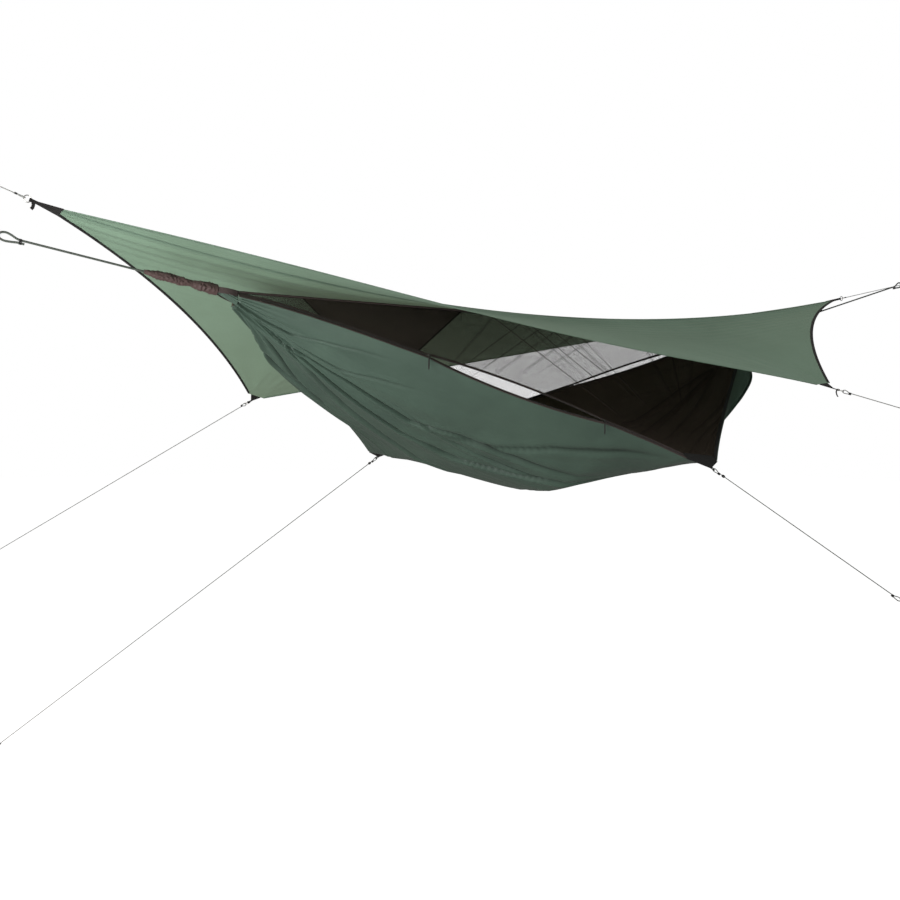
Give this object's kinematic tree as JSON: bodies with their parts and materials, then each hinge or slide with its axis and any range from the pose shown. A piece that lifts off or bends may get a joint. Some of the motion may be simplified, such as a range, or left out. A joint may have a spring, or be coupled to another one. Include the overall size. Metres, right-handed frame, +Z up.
{
  "type": "hammock tent",
  "caption": "Gathered-end hammock with insect nets, side zips and side tie-outs, slung on ropes under an asymmetric diamond rain fly with its own lines.",
  "frame": {"origin": "the eye at the outer end of the head rope, where a tree strap or hook holds the part", "axes": "+X runs along the ridgeline from the head end to the foot end, +Z is up, and -Y is the near side with the wide open zip"},
  "size_m": [4.7116, 4.5701, 2.7191],
  "materials": {
    "green_nylon": "woven ripstop nylon, soft sheen",
    "fly_fabric": "coated woven nylon, thin enough to let light through",
    "mosquito_net": "fine see-through knitted net",
    "dark_fabric": "matte dark brown woven tape and cloth",
    "black_webbing": "black woven webbing",
    "zip_coil": "black moulded coil",
    "zinc": "plated metal, slightly worn",
    "hook_plastic": "black moulded plastic",
    "rope": "dark braided rope",
    "cord": "grey braided cord",
    "dark_cord": "dark green braided cord"
  },
  "bodies": {
    "root": {"hammock_bed": "green_nylon", "near_net": "mosquito_net", "far_net": "mosquito_net", "near_dark_panel": "dark_fabric", "ridge_sleeve": "dark_fabric", "structural_ridgeline": "cord", "ridge_hook_tape": "dark_fabric", "fly_near_panel": "fly_fabric", "fly_far_panel": "fly_fabric", "fly_ridge_seam": "fly_fabric", "fly_head_binding": "black_webbing", "fly_foot_binding": "black_webbing", "fly_near_hem": "fly_fabric", "fly_far_hem": "fly_fabric", "near_zip_net_tape": "dark_fabric", "near_zip_bed_tape": "dark_fabric", "near_rim_binding": "black_webbing", "near_tie_out_patch": "black_webbing", "near_side_line": "dark_cord", "near_zip_coil_head": "zip_coil", "near_zip_coil_foot": "zip_coil", "far_zip_net_tape": "dark_fabric", "far_zip_bed_tape": "dark_fabric", "far_rim_binding": "black_webbing", "far_tie_out_patch": "black_webbing", "far_side_line": "dark_cord", "far_zip_coil_head": "zip_coil", "far_zip_coil_foot": "zip_coil", "head_gather": "green_nylon", "head_lashing": "rope", "head_rope": "rope", "foot_gather": "green_nylon", "foot_lashing": "rope", "foot_rope": "rope", "fly_head_strap": "black_webbing", "fly_head_line": "cord", "fly_foot_strap": "black_webbing", "fly_foot_line": "cord", "fly_far_strap": "black_webbing", "fly_far_line": "cord", "fly_near_strap": "black_webbing", "fly_near_line": "cord"},
    "near_zip_slider_head": {"near_zip_slider_head": "zinc"},
    "near_zip_pull_head": {"near_zip_pull_head": "black_webbing"},
    "near_zip_slider_foot": {"near_zip_slider_foot": "zinc"},
    "near_zip_pull_foot": {"near_zip_pull_foot": "black_webbing"},
    "far_zip_slider_foot": {"far_zip_slider_foot": "zinc"},
    "far_zip_pull_foot": {"far_zip_pull_foot": "black_webbing"},
    "far_zip_slider_head": {"far_zip_slider_head": "zinc"},
    "far_zip_pull_head": {"far_zip_pull_head": "black_webbing"},
    "head_stored_sleeve": {"head_stored_sleeve": "dark_fabric"},
    "foot_stored_sleeve": {"foot_stored_sleeve": "dark_fabric"},
    "gear_hook_a": {"gear_hook_a": "hook_plastic"},
    "gear_hook_b": {"gear_hook_b": "hook_plastic"},
    "fly_head_ring": {"fly_head_ring": "zinc"},
    "fly_foot_ring": {"fly_foot_ring": "zinc"},
    "fly_far_ring": {"fly_far_ring": "zinc"},
    "fly_near_ring": {"fly_near_ring": "zinc"},
    "near_line_bead": {"near_line_bead": "hook_plastic"},
    "far_line_bead": {"far_line_bead": "hook_plastic"}
  },
  "joints": [
    {"name": "near_zip_slider_head_slide", "type": "slide", "parent": "root", "child": "near_zip_slider_head", "axis": [0.8814, -0.3526, -0.3142], "range_m": [0, 0.33]},
    {"name": "near_zip_pull_head_swing", "type": "hinge", "parent": "near_zip_slider_head", "child": "near_zip_pull_head", "pos_m": [1.38169, -0.22565, -0.29931], "axis": [-0.8814, 0.3526, 0.3142], "range_deg": [0, 120]},
    {"name": "near_zip_slider_foot_slide", "type": "slide", "parent": "root", "child": "near_zip_slider_foot", "axis": [-0.8731, 0.364, 0.3243], "range_m": [0, 0.33]},
    {"name": "near_zip_pull_foot_swing", "type": "hinge", "parent": "near_zip_slider_foot", "child": "near_zip_pull_foot", "pos_m": [1.99169, -0.4748, -0.52131], "axis": [-0.8731, 0.364, 0.3243], "range_deg": [0, 120]},
    {"name": "far_zip_slider_foot_slide", "type": "slide", "parent": "root", "child": "far_zip_slider_foot", "axis": [-0.8929, 0.3361, -0.2995], "range_m": [0, 0.28]},
    {"name": "far_zip_pull_foot_swing", "type": "hinge", "parent": "far_zip_slider_foot", "child": "far_zip_pull_foot", "pos_m": [3.04169, 0.09602, -0.1838], "axis": [0.8929, -0.3361, 0.2995], "range_deg": [0, 120]},
    {"name": "far_zip_slider_head_slide", "type": "slide", "parent": "root", "child": "far_zip_slider_head", "axis": [0.882, -0.3518, 0.3135], "range_m": [0, 0.28]},
    {"name": "far_zip_pull_head_swing", "type": "hinge", "parent": "far_zip_slider_head", "child": "far_zip_pull_head", "pos_m": [2.52169, 0.29759, -0.36341], "axis": [0.882, -0.3518, 0.3135], "range_deg": [0, 120]},
    {"name": "head_stored_sleeve_slide", "type": "slide", "parent": "root", "child": "head_stored_sleeve", "axis": [-0.9877, 0, 0.1564], "range_m": [0, 0.25]},
    {"name": "foot_stored_sleeve_slide", "type": "slide", "parent": "root", "child": "foot_stored_sleeve", "axis": [0.9646, 0, 0.2638], "range_m": [0, 0.25]},
    {"name": "gear_hook_a_swing", "type": "hinge", "parent": "root", "child": "gear_hook_a", "pos_m": [1.68169, 0, -0.1225], "axis": [1, 0, 0], "range_deg": [-35, 35]},
    {"name": "gear_hook_b_swing", "type": "hinge", "parent": "root", "child": "gear_hook_b", "pos_m": [1.77669, 0, -0.1225], "axis": [1, 0, 0], "range_deg": [-35, 35]},
    {"name": "fly_head_ring_swivel", "type": "hinge", "parent": "root", "child": "fly_head_ring", "pos_m": [0.09176, 0, 0.11214], "axis": [-0.9488, 0, 0.3159], "range_deg": [-8, 8]},
    {"name": "fly_foot_ring_swivel", "type": "hinge", "parent": "root", "child": "fly_foot_ring", "pos_m": [4.08522, -0.00042, 0.11187], "axis": [0.9779, -0.02, 0.208], "range_deg": [-8, 8]},
    {"name": "fly_far_ring_swivel", "type": "hinge", "parent": "root", "child": "fly_far_ring", "pos_m": [1.23875, 0.94549, -0.46449], "axis": [-0.2829, 0.8805, -0.3805], "range_deg": [-8, 8]},
    {"name": "fly_near_ring_swivel", "type": "hinge", "parent": "root", "child": "fly_near_ring", "pos_m": [2.77821, -0.90535, -0.39852], "axis": [0.2629, -0.9212, -0.2869], "range_deg": [-8, 8]},
    {"name": "near_line_bead_slide", "type": "slide", "parent": "root", "child": "near_line_bead", "axis": [0.2842, -0.7979, -0.5316], "range_m": [0, 0.15]},
    {"name": "far_line_bead_slide", "type": "slide", "parent": "root", "child": "far_line_bead", "axis": [-0.297, 0.789, -0.5378], "range_m": [0, 0.15]}
  ]
}
